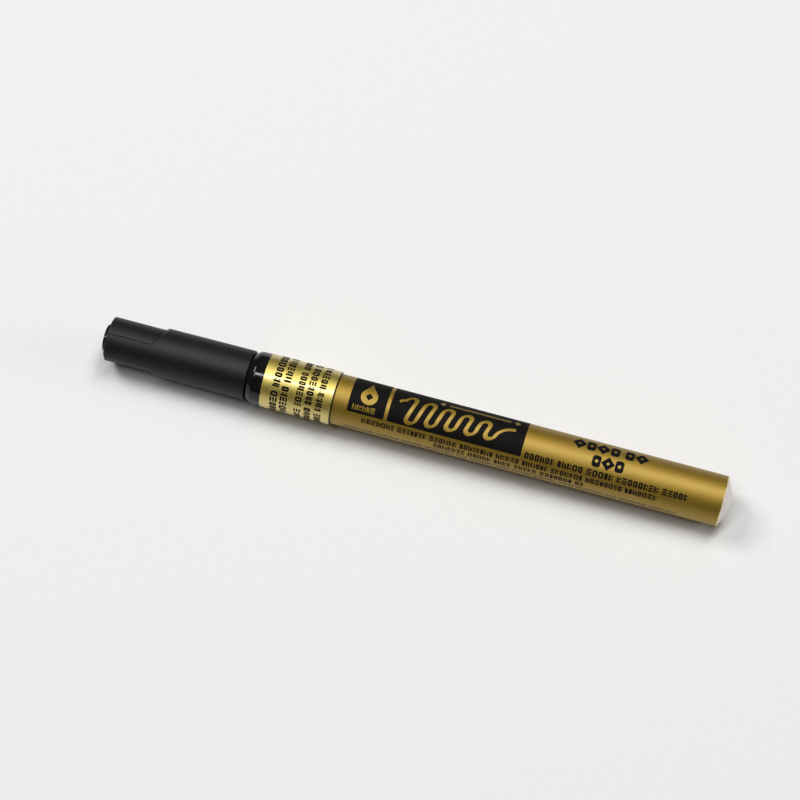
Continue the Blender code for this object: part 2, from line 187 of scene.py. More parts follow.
def remap(material, value, low, high, source=NOISE_SPREAD):
    """Stretches the source range of a value to run from low to high."""
    nodes, links = material.node_tree.nodes, material.node_tree.links
    node = nodes.new("ShaderNodeMapRange")
    node.inputs["From Min"].default_value, node.inputs["From Max"].default_value = source
    node.inputs["To Min"].default_value, node.inputs["To Max"].default_value = low, high
    links.new(value, node.inputs["Value"])
    return node.outputs["Result"]


def vary_roughness(material, value, low, high):
    roughness = shader_of(material).inputs["Roughness"]
    material.node_tree.links.new(remap(material, value, low, high), roughness)


def vary_colour(material, value, first, second, source=NOISE_SPREAD):
    nodes, links = material.node_tree.nodes, material.node_tree.links
    mix = nodes.new("ShaderNodeMix")
    mix.data_type = "RGBA"
    mix.inputs["A"].default_value = (*first, 1.0)
    mix.inputs["B"].default_value = (*second, 1.0)
    links.new(remap(material, value, 0.0, 1.0, source), mix.inputs["Factor"])
    links.new(mix.outputs["Result"], shader_of(material).inputs["Base Color"])


def add_bump(material, value, depth):
    """Raises the surface by depth metres between the value's extremes, on top of any bump already there."""
    nodes, links = material.node_tree.nodes, material.node_tree.links
    normal = shader_of(material).inputs["Normal"]
    bump = nodes.new("ShaderNodeBump")
    bump.inputs["Distance"].default_value = depth
    links.new(value, bump.inputs["Height"])
    if normal.is_linked:
        links.new(normal.links[0].from_socket, bump.inputs["Normal"])
    links.new(bump.outputs["Normal"], normal)


def gold_lacquer():
    """Satin gold lacquer: a metallic coat with fine flake under a thin clear layer."""
    material = new_material(
        "gold_lacquer", (0.345, 0.222, 0.022), 0.6, 1.0, Coat_Weight=0.6, Coat_Roughness=0.42
    )
    flake = noise(material, 9000, 2.0)
    vary_roughness(material, flake, 0.56, 0.64)
    vary_colour(material, noise(material, 2600, 4.0), (0.328, 0.209, 0.018), (0.362, 0.235, 0.027))
    add_bump(material, flake, 0.0006 * MM)
    add_bump(material, noise(material, 260, 2.0, (0.25, 1.0, 1.0)), 0.003 * MM)
    return material


def painted_highlight_edge():
    """Pale, less rough gold on the rolled edge: a painted highlight, far brighter than the lacquer, that
    stands for the line of light along the edge.
    """
    material = new_material("painted_highlight_edge", (0.78, 0.63, 0.27), 0.38, 1.0)
    marks = noise(material, 1800, 4.0)
    vary_roughness(material, marks, 0.32, 0.46)
    # pale gold range of the painted highlight on the rolled edge
    vary_colour(material, noise(material, 900, 3.0), (0.66, 0.51, 0.18), (0.90, 0.77, 0.42))
    add_bump(material, marks, 0.001 * MM)
    return material


def bare_aluminium():
    """Bare metal of the drawn tube: matt, whitish and faintly pitted."""
    material = new_material("bare_aluminium", (0.88, 0.84, 0.815), 0.8, 0.85)
    pits = noise(material, 5200, 4.0)
    vary_roughness(material, pits, 0.7, 0.88)
    vary_colour(material, noise(material, 1500, 3.0), (0.81, 0.765, 0.74), (0.92, 0.885, 0.865))
    add_bump(material, pits, 0.01 * MM)
    return material


def foil_film():
    """Pale gold metallised film, a little wavy where it is stuck down."""
    material = new_material(
        "foil_film", (0.63, 0.50, 0.12), 0.5, 1.0, Coat_Weight=1.0, Coat_Roughness=0.22, Coat_IOR=1.72
    )
    mottle = noise(material, 1300, 3.0)
    vary_roughness(material, mottle, 0.46, 0.54)
    vary_colour(material, noise(material, 620, 3.0), (0.60, 0.47, 0.105), (0.66, 0.53, 0.135))
    add_bump(material, noise(material, 300, 1.0), 0.012 * MM)
    add_bump(material, mottle, 0.0008 * MM)
    return material


def satin_black():
    """Spark-eroded moulding: black, with a fine even grain."""
    material = new_material("satin_black", (0.007, 0.0066, 0.0066), 0.47, Specular_IOR_Level=0.28)
    grain = noise(material, 7500, 3.0)
    vary_roughness(material, noise(material, 900, 4.0), 0.44, 0.51)
    vary_colour(material, noise(material, 400, 3.0), (0.006, 0.0057, 0.0057), (0.0085, 0.0081, 0.0081))
    add_bump(material, grain, 0.004 * MM)
    return material


def gloss_black():
    """Polished black moulding with faint flow marks and handling haze."""
    material = new_material("gloss_black", (0.006, 0.006, 0.0065), 0.1, Specular_IOR_Level=0.3)
    vary_roughness(material, noise(material, 700, 5.0), 0.07, 0.14)
    vary_colour(material, noise(material, 300, 2.0), (0.005, 0.005, 0.0055), (0.008, 0.008, 0.0085))
    add_bump(material, noise(material, 350, 2.0), 0.002 * MM)
    return material


def moulded_plastic(name, dark, light, roughness, subsurface=0.0):
    """Moulded plastic that is a little mottled, with a fine grain."""
    material = new_material(name, light, roughness, Subsurface_Weight=subsurface, Subsurface_Scale=0.5 * MM)
    vary_colour(material, noise(material, 500, 3.0), dark, light)
    vary_roughness(material, noise(material, 1400, 4.0), roughness - 0.06, roughness + 0.06)
    add_bump(material, noise(material, 4200, 3.0), 0.003 * MM)
    return material


def soft_rubber():
    """Dull black rubber of the valve's seals."""
    material = new_material("soft_rubber", (0.02, 0.02, 0.021), 0.75)
    vary_colour(material, noise(material, 1100, 4.0), (0.016, 0.016, 0.017), (0.03, 0.03, 0.031))
    vary_roughness(material, noise(material, 2500, 3.0), 0.68, 0.85)
    add_bump(material, noise(material, 5000, 4.0), 0.006 * MM)
    return material


def steel(name, roughness, stretch=(1.0, 1.0, 1.0)):
    """Bright steel with fine marks, longer where stretch is under 1."""
    material = new_material(name, (0.62, 0.62, 0.63), roughness, 1.0)
    marks = noise(material, 3500, 4.0, stretch)
    vary_roughness(material, marks, roughness * 0.7, roughness * 1.5)
    vary_colour(material, noise(material, 900, 3.0), (0.56, 0.56, 0.57), (0.68, 0.68, 0.69))
    add_bump(material, marks, 0.0015 * MM)
    return material


def black_ink():
    """Screen-printed ink with a soft gloss and slightly uneven cover."""
    material = new_material("black_ink", (0.0045, 0.004, 0.0037), 0.62, Specular_IOR_Level=0.08)
    vary_roughness(material, noise(material, 3800, 4.0), 0.57, 0.68)
    vary_colour(material, noise(material, 2600, 4.0), (0.0033, 0.003, 0.0028), (0.0062, 0.0054, 0.0047))
    add_bump(material, noise(material, 6500, 3.0), 0.0012 * MM)
    return material


def fine_ink():
    """The thinnest print, which lets a little of the gold through."""
    material = new_material("fine_ink", (0.045, 0.036, 0.024), 0.6, Specular_IOR_Level=0.25)
    vary_colour(material, noise(material, 3000, 4.0), (0.03, 0.024, 0.016), (0.065, 0.052, 0.034))
    vary_roughness(material, noise(material, 3800, 4.0), 0.54, 0.66)
    add_bump(material, noise(material, 6500, 3.0), 0.001 * MM)
    return material


def nib_plastic():
    """Ivory nib whose tip is stained by gold paint, with an uneven edge to the stain."""
    material = new_material("nib_plastic", (0.8, 0.74, 0.6), 0.45)
    nodes, links = material.node_tree.nodes, material.node_tree.links
    place = nodes.new("ShaderNodeTexCoord")
    split = nodes.new("ShaderNodeSeparateXYZ")
    links.new(place.outputs["Object"], split.inputs["Vector"])
    edge = nodes.new("ShaderNodeMath")
    edge.operation = "MULTIPLY_ADD"
    edge.inputs[1].default_value = 0.9 * MM
    links.new(noise(material, 1500, 4.0), edge.inputs[0])
    links.new(split.outputs["X"], edge.inputs[2])
    stain = (NIB_TIP + 1.6 * MM, NIB_TIP + 2.5 * MM)
    vary_colour(material, edge.outputs["Value"], (0.50, 0.34, 0.09), (0.82, 0.77, 0.64), stain)
    wet = remap(material, edge.outputs["Value"], 0.9, 0.0, stain)
    links.new(wet, shader_of(material).inputs["Metallic"])
    vary_roughness(material, noise(material, 3000, 3.0), 0.36, 0.52)
    add_bump(material, noise(material, 5200, 3.0), 0.003 * MM)
    return material


# ---------------------------------------------------------------- meshes


def on_pen(radius, angle, station):
    """The point at this radius and angle, in degrees, round the pen's axis."""
    turn = math.radians(angle)
    return Vector((station, -radius * math.cos(turn), AXIS_HEIGHT + radius * math.sin(turn)))


def clamped(value):
    return min(max(value, 0.0), 1.0)


def signed_angle(angle):
    """The same direction as an angle from -180 to 180 degrees."""
    return (angle + 180) % 360 - 180


def full_circle(columns):
    return [360 * i / columns for i in range(columns)]


def arc(centre, radii, start, end, steps):
    """Points of an elliptical arc in a plane, its angles in degrees from the first axis."""
    points = []
    for i in range(steps + 1):
        turn = math.radians(start + (end - start) * i / steps)
        points.append((centre[0] + radii[0] * math.cos(turn), centre[1] + radii[1] * math.sin(turn)))
    return points


def filleted(corners, closed, steps=5):
    """The outline through (radius, station, fillet) corners, with each fillet rounded in this many steps."""
    points = []
    count = len(corners)
    for i, (radius, station, fillet) in enumerate(corners):
        corner = Vector((radius, station))
        at_end = not closed and i in (0, count - 1)
        if not fillet or at_end:
            points.append(tuple(corner))
            continue
        before = Vector(corners[i - 1][:2]) - corner
        after = Vector(corners[(i + 1) % count][:2]) - corner
        reach = min(fillet, 0.45 * before.length, 0.45 * after.length)
        start, end = corner + before.normalized() * reach, corner + after.normalized() * reach
        for k in range(steps + 1):
            t = k / steps
            points.append(tuple(start * (1 - t) ** 2 + corner * 2 * t * (1 - t) + end * t ** 2))
    return points


def link(name, mesh, materials, body):
    """A new piece that rides on a body, with the given materials."""
    obj = bpy.data.objects.new(name, mesh)
    bpy.context.scene.collection.objects.link(obj)
    for material in materials:
        mesh.materials.append(material)
    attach(obj, body)
    return obj


def finish_mesh(name, bm):
    """Welds, turns the faces outwards and shades smooth up to sharp edges."""
    bmesh.ops.remove_doubles(bm, verts=bm.verts, dist=1e-8)
    bmesh.ops.recalc_face_normals(bm, faces=bm.faces)
    mesh = bpy.data.meshes.new(name)
    bm.to_mesh(mesh)
    bm.free()
    mesh.shade_smooth()
    mesh.set_sharp_from_angle(angle=math.radians(SHARP_ANGLE))
    return mesh


def weight_normals(obj):
    modifier = obj.modifiers.new("Weighted normals", "WEIGHTED_NORMAL")
    modifier.keep_sharp = True
    return obj


def lofted(name, outline_at, angles, materials, body, node, closed=True, full_turn=True):
    """A piece that stands for a CAD node: an outline swept round the pen, which may change with the angle.

    The outline is in the (radius, station) plane. An open one starts and ends on the pen's axis.
    """
    bm = bmesh.new()
    columns = [[bm.verts.new(on_pen(r, angle, x)) for r, x in outline_at(angle)] for angle in angles]
    pairs = list(zip(columns, columns[1:]))
    if full_turn:
        pairs.append((columns[-1], columns[0]))
    rows = len(columns[0])
    for left, right in pairs:
        for j in range(rows if closed else rows - 1):
            k = (j + 1) % rows
            bm.faces.new((left[j], left[k], right[k], right[j]))
    if not full_turn:
        bm.faces.new(columns[0])
        bm.faces.new(list(reversed(columns[-1])))
    bmesh.ops.dissolve_degenerate(bm, edges=bm.edges, dist=1e-9)
    obj = link(name, finish_mesh(name, bm), materials, body)
    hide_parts(node)
    return weight_normals(obj)


def turned(name, corners, material, body, node, closed=True, columns=144):
    """A piece whose outline is the same all round."""
    profile = filleted(corners, closed)
    return lofted(name, lambda angle: profile, full_circle(columns), [material], body, node, closed)


def refined(node, material):
    """A hidden piece: its CAD mesh, welded, with its sharp edges eased."""
    source = frame["nodes"][node]
    name = f"{node}_piece"
    bm = bmesh.new()
    bm.from_mesh(source.data)
    bmesh.ops.remove_doubles(bm, verts=bm.verts, dist=1e-7)
    bmesh.ops.dissolve_limit(bm, angle_limit=math.radians(FLAT_ANGLE), verts=bm.verts, edges=bm.edges)
    obj = link(name, finish_mesh(name, bm), [material], source["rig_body"])
    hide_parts(node)
    ease = obj.modifiers.new("Eased edges", "BEVEL")
    ease.width = EASED_EDGE
    ease.segments = 2
    ease.limit_method = "ANGLE"
    ease.angle_limit = math.radians(EASED_ANGLE)
    return weight_normals(obj)


# ---------------------------------------------------------------- pieces


def barrel_outline():
    """Out at the mouth, along the wall, over the rolled edge and the dome, and back along the bore."""
    inner, lip = BARREL_RADIUS - BARREL_WALL, 0.08 * MM
    roll = arc((BARREL_RADIUS - TAIL_ROLL, TAIL_EDGE - TAIL_ROLL), (TAIL_ROLL, TAIL_ROLL), 0, 90, 8)
    last_ring, ring_gap, rings = TAIL_EDGE - 0.5 * MM, 9.0, 10
    wall = [(BARREL_RADIUS, last_ring - k * ring_gap * MM) for k in reversed(range(rings))]
    shoulder, seat, dome_rings = BARREL_RADIUS - 0.40 * MM, TAIL_EDGE - 0.05 * MM, 18
    dome = []
    for k in range(dome_rings):
        out = 1 - k / dome_rings
        dome.append((shoulder * out, seat + (TAIL - seat) * (1 - out ** 2)))
    flat, end_thickness = 1.2 * MM, 1.0 * MM
    bore_end = arc((flat, TAIL_EDGE - end_thickness), (inner - flat, TAIL_CROWN), 90, 0, 8)
    return [
        (inner, BARREL_MOUTH),
        (BARREL_RADIUS - lip, BARREL_MOUTH),
        (BARREL_RADIUS, BARREL_MOUTH + lip),
        *wall,
        *roll,
        *dome,
        (0, TAIL),
        (0, TAIL - end_thickness),
        *bore_end,
    ]


def barrel(lacquer, aluminium, painted_highlight):
    """Drawn tube with a rolled tail edge that carries a painted highlight in pale gold. The domed end and
    bore are bare.
    """
    outline = barrel_outline()
    angles, finishes = full_circle(BARREL_COLUMNS), [lacquer, aluminium, painted_highlight]
    tube = lofted("barrel_tube", lambda angle: outline, angles, finishes, "pen", "barrel")
    bare_inside = BARREL_RADIUS - TAIL_ROLL - 0.01 * MM
    highlight_behind, highlight_outside = TAIL_EDGE - 0.72 * TAIL_ROLL, BARREL_RADIUS - 0.75 * TAIL_ROLL
    for face in tube.data.polygons:
        radius = math.hypot(face.center.y, face.center.z - AXIS_HEIGHT)
        if radius < bare_inside:
            face.material_index = finishes.index(aluminium)
        # faces on the rolled edge take the pale gold of the painted highlight
        elif face.center.x > highlight_behind and radius > highlight_outside:
            face.material_index = finishes.index(painted_highlight)


def front_section(material):
    """Collar with a soft chamfer towards the cap, spigot with the snap ring, and the tapered nose."""
    spigot, ring = 4.5 * MM, COLLAR_FRONT - 4.9 * MM
    ring_radius = spigot + 0.08 * MM
    nose, nose_tip, nib_passage = 2.75 * MM, 1.55 * MM, 1.2 * MM
    plunger_bore, chamber, seal_bore, neck_bore = 1.9 * MM, 3.3 * MM, 4.35 * MM, 4.5 * MM
    collar = [
        (COLLAR_RADIUS, COLLAR_REAR, 0.15 * MM),
        (COLLAR_RADIUS, COLLAR_FRONT + 1.3 * MM, 0.3 * MM),
        (COLLAR_RADIUS - 0.7 * MM, COLLAR_FRONT, 0.12 * MM),
    ]
    outside = [
        (spigot, COLLAR_FRONT, 0.1 * MM),
        (spigot, ring + 0.6 * MM, 0.1 * MM),
        (ring_radius, ring + 0.2 * MM, 0.1 * MM),
        (ring_radius, ring - 0.2 * MM, 0.1 * MM),
        (spigot, ring - 0.6 * MM, 0.1 * MM),
        (spigot, NOSE + 11.5 * MM, 0.3 * MM),
        (3.4 * MM, NOSE + 10.5 * MM, 0.15 * MM),
        (nose, NOSE + 9.0 * MM, 0.2 * MM),
        (nose, NOSE + 5.0 * MM, 0.15 * MM),
        (2.6 * MM, NOSE + 4.8 * MM, 0.1 * MM),
        (nose_tip, NOSE, 0.15 * MM),
    ]
    inside = [
        (nib_passage, NOSE, 0.08 * MM),
        (nib_passage, NOSE + 5.5 * MM, 0),
        (plunger_bore, NOSE + 6.2 * MM, 0),
        (plunger_bore, NOSE + 13.5 * MM, 0),
        (chamber, NOSE + 13.5 * MM, 0.1 * MM),
        (chamber, COLLAR_FRONT + 6.7 * MM, 0.1 * MM),
        (seal_bore, COLLAR_FRONT + 6.7 * MM, 0),
        (seal_bore, COLLAR_FRONT + 7.9 * MM, 0),
        (neck_bore, COLLAR_FRONT + 8.05 * MM, 0),
        (neck_bore, COLLAR_REAR, 0.1 * MM),
    ]
    corners = collar + outside + inside
    turned("collar_and_nose", corners, material, "pen", "front_section")


def cap_angles():
    """Columns round the cap: even ones, and close ones at the walls of the two recesses."""
    columns, clear = 120, 3.2
    angles = {round(360 / columns * i, 3) for i in range(columns)}
    inwards = (-1.2, -0.5, -0.1, 0.0, 0.15, 0.5, 1.0, 1.6, 2.2, 2.8, 3.2, 3.4, 3.5, 3.9, 4.7)
    for centre in RECESS_CENTRES:
        for side in (-1, 1):
            edge = centre + side * RECESS_HALF_ANGLE
            wall = centre + side * (RECESS_HALF_ANGLE - RECESS_WALL_ANGLE / 2)
            angles -= {angle for angle in angles if abs(signed_angle(angle - wall)) < clear}
            angles |= {round((edge - side * offset) % 360, 3) for offset in inwards}
    return sorted(angles)


def recess_share(angle):
    """How deep the recess is at an angle, from 0 to 1, and the angle from its middle."""
    off = min((signed_angle(angle - centre) for centre in RECESS_CENTRES), key=abs)
    share = clamped((RECESS_HALF_ANGLE - abs(off)) / RECESS_WALL_ANGLE)
    eased = share * share * (3 - 2 * share)
    return 0.7 * share + 0.3 * eased, max(-RECESS_HALF_ANGLE, min(RECESS_HALF_ANGLE, off))


def cap_outline(angle):
    """The cap's section at an angle: its taper, the ramp and floor of a recess, the end and the bore."""
    share, off = recess_share(angle)
    rise = math.cos(math.radians(off))
    corner_height = CAP_END_RADIUS * math.cos(math.radians(RECESS_HALF_ANGLE))
    ramp_corner = CAP_END + RECESS_LENGTH
    taper = (CAP_RADIUS - CAP_END_RADIUS) / (CAP_MOUTH - CAP_END)
    skin = CAP_END_RADIUS + taper * RECESS_LENGTH
    ramp_top = ramp_corner + RECESS_SLOPE * (skin * rise - corner_height)
    ramp_foot = ramp_corner + RECESS_SLOPE * (RECESS_FLOOR_RADIUS * rise - corner_height)

    def sunk(station):
        wall = CAP_END_RADIUS + taper * (station - CAP_END)
        return wall + share * (RECESS_FLOOR_RADIUS - wall)

    top_radius = CAP_END_RADIUS + taper * (ramp_top - CAP_END)
    bore, deep_bore, stud_hole = 4.7 * MM, 4.0 * MM, 2.45 * MM
    end_wall = CAP_END + 1.6 * MM
    corners = [
        (bore + 0.25 * MM, CAP_MOUTH, 0.06 * MM),
        (CAP_RADIUS, CAP_MOUTH, 0.28 * MM),
        (CAP_RADIUS - taper * 2.0 * MM, CAP_MOUTH - 2.0 * MM, 0),
        (CAP_RADIUS - taper * 9.0 * MM, CAP_MOUTH - 9.0 * MM, 0),
        (top_radius + taper * 1.2 * MM, ramp_top + 1.2 * MM, 0),
        (top_radius, ramp_top, 0.14 * MM),
        (sunk(ramp_foot), ramp_foot, 0.1 * MM),
        (sunk(CAP_END + 1.2 * MM), CAP_END + 1.2 * MM, 0),
        (sunk(CAP_END), CAP_END, (0.34 - 0.16 * share) * MM),
        (stud_hole, CAP_END, 0.05 * MM),
        (stud_hole, end_wall, 0),
        (deep_bore, end_wall, 0),
        (deep_bore, CAP_MOUTH - 17.7 * MM, 0),
        (bore, CAP_MOUTH - 16.7 * MM, 0),
        (bore, CAP_MOUTH - 1.4 * MM, 0.2 * MM),
    ]
    return filleted(corners, closed=True, steps=4)


def cap_shell(material):
    """Outer cap with two ramped recesses that keep the pen from rolling."""
    lofted("cap_outer", cap_outline, cap_angles(), [material], "cap", "cap_shell")


def cap_liner(material):
    """Inner cap. Its stud's head is the boss in the cap's end, with a shallow dish and a gate mark."""
    bore, outer, stud, head = 2.83 * MM, 3.95 * MM, 2.4 * MM, 3.0 * MM
    dish_rim, dish, gate_rim, gate = 2.3 * MM, 2.15 * MM, 0.45 * MM, 0.38 * MM
    base, bore_end = BOSS_FACE + 2.7 * MM, BOSS_FACE + 4.2 * MM
    head_back, dish_face, gate_face = BOSS_FACE + 0.95 * MM, BOSS_FACE + 0.12 * MM, BOSS_FACE + 0.05 * MM
    corners = [
        (0, bore_end, 0),
        (bore, bore_end, 0.3 * MM),
        (bore, LINER_RIM - 0.3 * MM, 0.1 * MM),
        (bore + 0.3 * MM, LINER_RIM, 0.08 * MM),
        (outer - 0.5 * MM, LINER_RIM, 0.15 * MM),
        (outer, LINER_RIM - 1.0 * MM, 0.3 * MM),
        (outer, base, 0.2 * MM),
        (stud, base, 0),
        (stud, head_back, 0),
        (head, head_back, 0.06 * MM),
        (head, BOSS_FACE, 0.22 * MM),
        (dish_rim, BOSS_FACE, 0.08 * MM),
        (dish, dish_face, 0.1 * MM),
        (gate_rim, dish_face, 0.05 * MM),
        (gate, gate_face, 0.05 * MM),
        (0, gate_face, 0),
    ]
    turned("cap_inner", corners, material, "cap", "cap_liner", closed=False)


def nib(material):
    """Fine nib with a rounded tip."""
    radius = radius_of("nib")
    tip = 0.35 * MM
    corners = [
        (0, NIB_REAR, 0),
        (radius, NIB_REAR, 0.1 * MM),
        (radius, NIB_TIP + 2.0 * MM, 0.5 * MM),
        (tip, NIB_TIP + 0.35 * MM, 0.25 * MM),
        (tip * 0.72, NIB_TIP + 0.08 * MM, 0.15 * MM),
        (0, NIB_TIP, 0),
    ]
    turned("nib_point", corners, material, "nib", "nib", closed=False, columns=64)


def label_outline(angle):
    """The film's section at an angle: a little wavy, and lifted where its end overlaps its start."""
    climb, glue = 8, 0.01 * MM
    lift = clamped((angle - LABEL_SEAM - (360 - climb)) / climb)
    wave = FILM_WAVE * math.sin(math.radians(7 * angle)) * math.sin(math.radians(3 * angle + 40))
    inner = LABEL_RADIUS - FILM + lift * (FILM + glue) + wave
    outer = inner + FILM
    edge, inset = 0.02 * MM, 5.0 * MM
    rear = LABEL_REAR + 0.14 * MM
    corners = [
        (inner, LABEL_FRONT, 0),
        (outer, LABEL_FRONT, edge),
        (outer, LABEL_FRONT + inset, 0),
        (outer, LABEL_REAR - inset, 0),
        (outer, rear, edge),
        (inner, rear, 0),
    ]
    return filleted(corners, closed=True, steps=2)


def safety_label(material):
    """Film wrapped round the collar, its end stuck over its start at the back."""
    step = 2.0
    angles = [LABEL_SEAM + step * i for i in range(round(LABEL_TURN / step) + 1)]
    lofted(
        "label_film", label_outline, angles, [material], "pen", "safety_label", full_turn=False
    )


def valve_spring(material):
    """The spring, refined, with a mesh of its own."""
    spring = refined("valve_spring", material)
    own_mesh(spring)


# ---------------------------------------------------------------- prints


def block(start, end, bottom, top):
    """A rounded bar in a print's flat drawing."""
    radius = 0.3 * min(end - start, top - bottom)
    points = []
    for x, y, first in (
        (end - radius, top - radius, 0),
        (start + radius, top - radius, 90),
        (start + radius, bottom + radius, 180),
        (end - radius, bottom + radius, 270),
    ):
        points += arc((x, y), (radius, radius), first, first + 90, 2)
    return points


def bars(start, end, bottom, height, levels, thickness):
    """Level bars at these shares of a line's height."""
    lows = [bottom + level * height for level in levels]
    return [block(start, end, low, low + thickness * height) for low in lows]


def blind_sign(form, start, end, bottom, height, stroke):
    """A sign that is no letter: two posts, a hollow block, a post with two bars, or three bars."""
    top = bottom + height
    if form == "posts":
        short_post = block(end - stroke, end, bottom, top - 0.14 * height)
        return [block(start, start + stroke, bottom, top), short_post]
    if form == "hollow":
        hole = block(start + stroke, end - stroke, bottom + 0.8 * stroke, top - 0.8 * stroke)
        return [block(start, end, bottom, top), hole]
    if form == "post_and_bars":
        post = block(start, start + stroke, bottom, top)
        return [post, *bars(start + 1.25 * stroke, end, bottom, height, (0.12, 0.6), 0.25)]
    return bars(start, end, bottom, height, (0.0, 0.38, 0.76), 0.24)


def blind_words(start, end, bottom, height, seed, weight=0.27):
    """A line of print without letters: blind signs, grouped as words are. Weight is stroke by height."""
    draw = random.Random(seed)
    widths, forms = (0.52, 0.66, 0.66, 0.78), ("posts", "hollow", "hollow", "post_and_bars", "bars")
    sign_gap, word_gap, least_room = 0.15 * height, 0.45 * height, 0.8 * height
    shapes = []
    x = start
    while x < end - least_room:
        for _ in range(draw.randint(4, 9)):
            width = draw.choice(widths) * height
            if x + width > end:
                break
            shapes += blind_sign(draw.choice(forms), x, x + width, bottom, height, weight * height)
            x += width + sign_gap
        x += word_gap
    return shapes


def placed_round(shapes, station, start):
    """A line of print, turned by a quarter so that it runs round the pen with its top to the cap."""
    return [[(station - y, start + x) for x, y in shape] for shape in shapes]


def filled_drawing(name, shapes):
    """A flat mesh of a drawing. A shape in a shape is a hole."""
    curve = bpy.data.curves.new(name, "CURVE")
    curve.dimensions = "2D"
    curve.fill_mode = "BOTH"
    for shape in shapes:
        spline = curve.splines.new("POLY")
        spline.points.add(len(shape) - 1)
        for point, (x, y) in zip(spline.points, shape):
            point.co = (x, y, 0, 1)
        spline.use_cyclic_u = True
    flat = bpy.data.objects.new(name, curve)
    bpy.context.scene.collection.objects.link(flat)
    graph = bpy.context.evaluated_depsgraph_get()
    drawn = bpy.data.meshes.new_from_object(flat.evaluated_get(graph))
    bm = bmesh.new()
    bm.from_mesh(drawn)
    bpy.data.objects.remove(flat)
    bpy.data.meshes.remove(drawn)
    bmesh.ops.remove_doubles(bm, verts=bm.verts, dist=1e-5)
    return bm


def cut_across(bm, step):
    """Cuts a flat drawing at even steps of arc length, so that it can bend."""
    levels = [vert.co.y for vert in bm.verts]
    for k in range(math.ceil(min(levels) / step), math.floor(max(levels) / step) + 1):
        everything = bm.verts[:] + bm.edges[:] + bm.faces[:]
        bmesh.ops.bisect_plane(bm, geom=everything, dist=1e-6, plane_co=(0, k * step, 0), plane_no=(0, 1, 0))


def wrapped(name, shapes, radius, thickness, material):
    """Wraps a flat drawing, in millimetres, round the pen as a layer of ink with its root in the surface."""
    bm = filled_drawing(name, shapes)
    cut_across(bm, PRINT_STEP)
    side = bmesh.ops.extrude_face_region(bm, geom=bm.faces[:])
    raised = [item for item in side["geom"] if isinstance(item, bmesh.types.BMVert)]
    bmesh.ops.translate(bm, vec=(0, 0, 1), verts=raised)
    for vert in bm.verts:
        height = thickness if vert.co.z > 0.5 else -INK_ROOT
        angle = math.degrees(vert.co.y * MM / radius)
        vert.co = on_pen(radius + height, angle, vert.co.x * MM)
    link(name, finish_mesh(name, bm), [material], "pen")


def arc_at(angle, radius=BARREL_RADIUS):
    """Arc length in millimetres at an angle."""
    return math.radians(angle) * radius / MM


def ribbon(centre_line, wide, narrow, nib_angle):
    """The outline of a broad pen's stroke along a line of points. Its width changes as the line turns."""
    edge = Vector((math.cos(math.radians(nib_angle)), math.sin(math.radians(nib_angle))))
    left, right = [], []
    for i, point in enumerate(centre_line):
        ahead = Vector(centre_line[min(i + 1, len(centre_line) - 1)])
        behind = Vector(centre_line[max(i - 1, 0)])
        along = (ahead - behind).normalized()
        across = Vector((-along.y, along.x))
        turn = across.dot(edge)
        half = math.sqrt((wide * turn) ** 2 + (narrow * narrow) * (1 - turn * turn)) / 2
        left.append(tuple(Vector(point) + across * half))
        right.append(tuple(Vector(point) - across * half))
    return left + right[::-1]


def diamond(x, y, size):
    return [(x - size, y), (x, y - size), (x + size, y), (x, y + size)]


def flourish(start, middle):
    """A broad-pen exercise: slanted strokes with round turns that grow shorter, and a last sweep."""
    heights = (3.0, 2.95, 2.75, 2.55, 2.4, 2.2, 2.1, 1.95, 1.85, 1.75)
    pitch, slant = 2.1, 0.3
    wide, narrow, nib_angle = 1.05, 0.6, 38
    points = [(-1.15, 1.2), (-0.7, 1.75)]
    for k, height in enumerate(heights):
        side = 1 if k % 2 == 0 else -1
        centre = ((k + 0.5) * pitch, side * (height - pitch / 2))
        points += arc(centre, (pitch / 2, side * pitch / 2), 180, 0, 12)
    x, y = points[-1]
    sweep_length, sweep_rise, sweep_steps = 3.2, 2.3, 16
    for i in range(1, sweep_steps + 1):
        t = i / sweep_steps
        points.append((x + sweep_length * t ** 1.6, y + sweep_rise * math.sin(0.5 * math.pi * t)))
    slanted = [(start + px + slant * py, middle + py) for px, py in points]
    return ribbon(slanted, wide, narrow, nib_angle)


def drop(x, y, radius):
    """An ink drop whose point is up: most of a circle, and a neck that narrows to the point."""
    neck, neck_height = 0.28 * radius, 1.35 * radius
    belly = arc((x, y), (radius, radius), -216, 36, 24)
    return [*belly, (x + neck, y + neck_height), (x, y + 2.0 * radius), (x - neck, y + neck_height)]


def panels(material):
    """Two black panels. The drop, the flourish, the rule and a row of signs are left open to the lacquer."""
    bottom, top = arc_at(47.1), arc_at(172)
    first, second = (-14.03, -5.95), (-5.18, 24.33)
    drop_x, drop_y = (first[0] + first[1]) / 2, arc_at(90)
    rule, rule_height, stud = arc_at(123), 0.5, 0.7
    shapes = [[(start, bottom), (end, bottom), (end, top), (start, top)] for start, end in (first, second)]
    shapes += [
        drop(drop_x, drop_y, 1.85),
        diamond(drop_x, drop_y, 0.85),
        flourish(second[0] + 2.5, arc_at(86)),
        block(second[0] + 12.1, second[1] - 3.8, rule, rule + rule_height),
        diamond(second[0] + 10.7, rule + rule_height / 2, stud),
        diamond(second[1] - 2.4, rule + rule_height / 2, stud),
    ]
    shapes += blind_words(first[0] + 1.0, first[1] - 0.7, arc_at(53.5), 1.25, seed=4, weight=0.22)
    wrapped("panel_print", shapes, BARREL_RADIUS, INK, material)


def barrel_lines(material):
    """The rows of print under and beside the panels."""
    shapes = []
    for start, end, angle, height, seed in (
        # first and last station, angle round the pen, height of the signs, seed
        (-10.5, 55.6, 26.5, 1.25, 11),
        (5.6, 39.1, 9.5, 1.25, 12),
        (25.1, 60.6, 46.0, 1.4, 13),
    ):
        shapes += blind_words(start, end, arc_at(angle), height, seed)
    wrapped("line_print", shapes, BARREL_RADIUS, INK, material)


